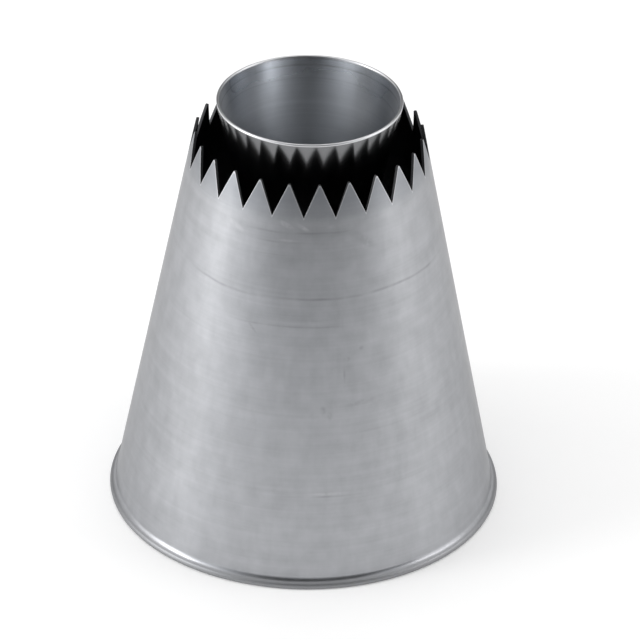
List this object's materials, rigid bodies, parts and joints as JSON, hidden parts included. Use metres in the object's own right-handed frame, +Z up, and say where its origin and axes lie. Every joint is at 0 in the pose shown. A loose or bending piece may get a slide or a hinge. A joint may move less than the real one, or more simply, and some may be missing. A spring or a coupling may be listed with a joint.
{
  "type": "piping nozzle",
  "caption": "Ring piping nozzle: a thin steel cone with a toothed mouth and an inverted core cone in its middle, for piping fluted rings of dough.",
  "frame": {"origin": "centre of the base ring, on the surface that the nozzle stands on", "axes": "+Z up along the nozzle's axis towards its mouth; the strap inside runs along Y, and -Y is the front"},
  "size_m": [0.055, 0.055, 0.062],
  "materials": {
    "cone_steel": "satin, with fine lines round the cone",
    "core_steel": "satin, with fine lines round the cone",
    "strap_steel": "mill finish, with fine lines along the strip",
    "rivet_steel": "bright, with a set mark",
    "weld_steel": "dull and slightly straw-coloured from the heat"
  },
  "bodies": {
    "root": {"outer_cone": "cone_steel", "core_cone": "core_steel", "bridge_strap": "strap_steel", "core_rivet": "rivet_steel", "foot_welds": "weld_steel"}
  },
  "joints": []
}
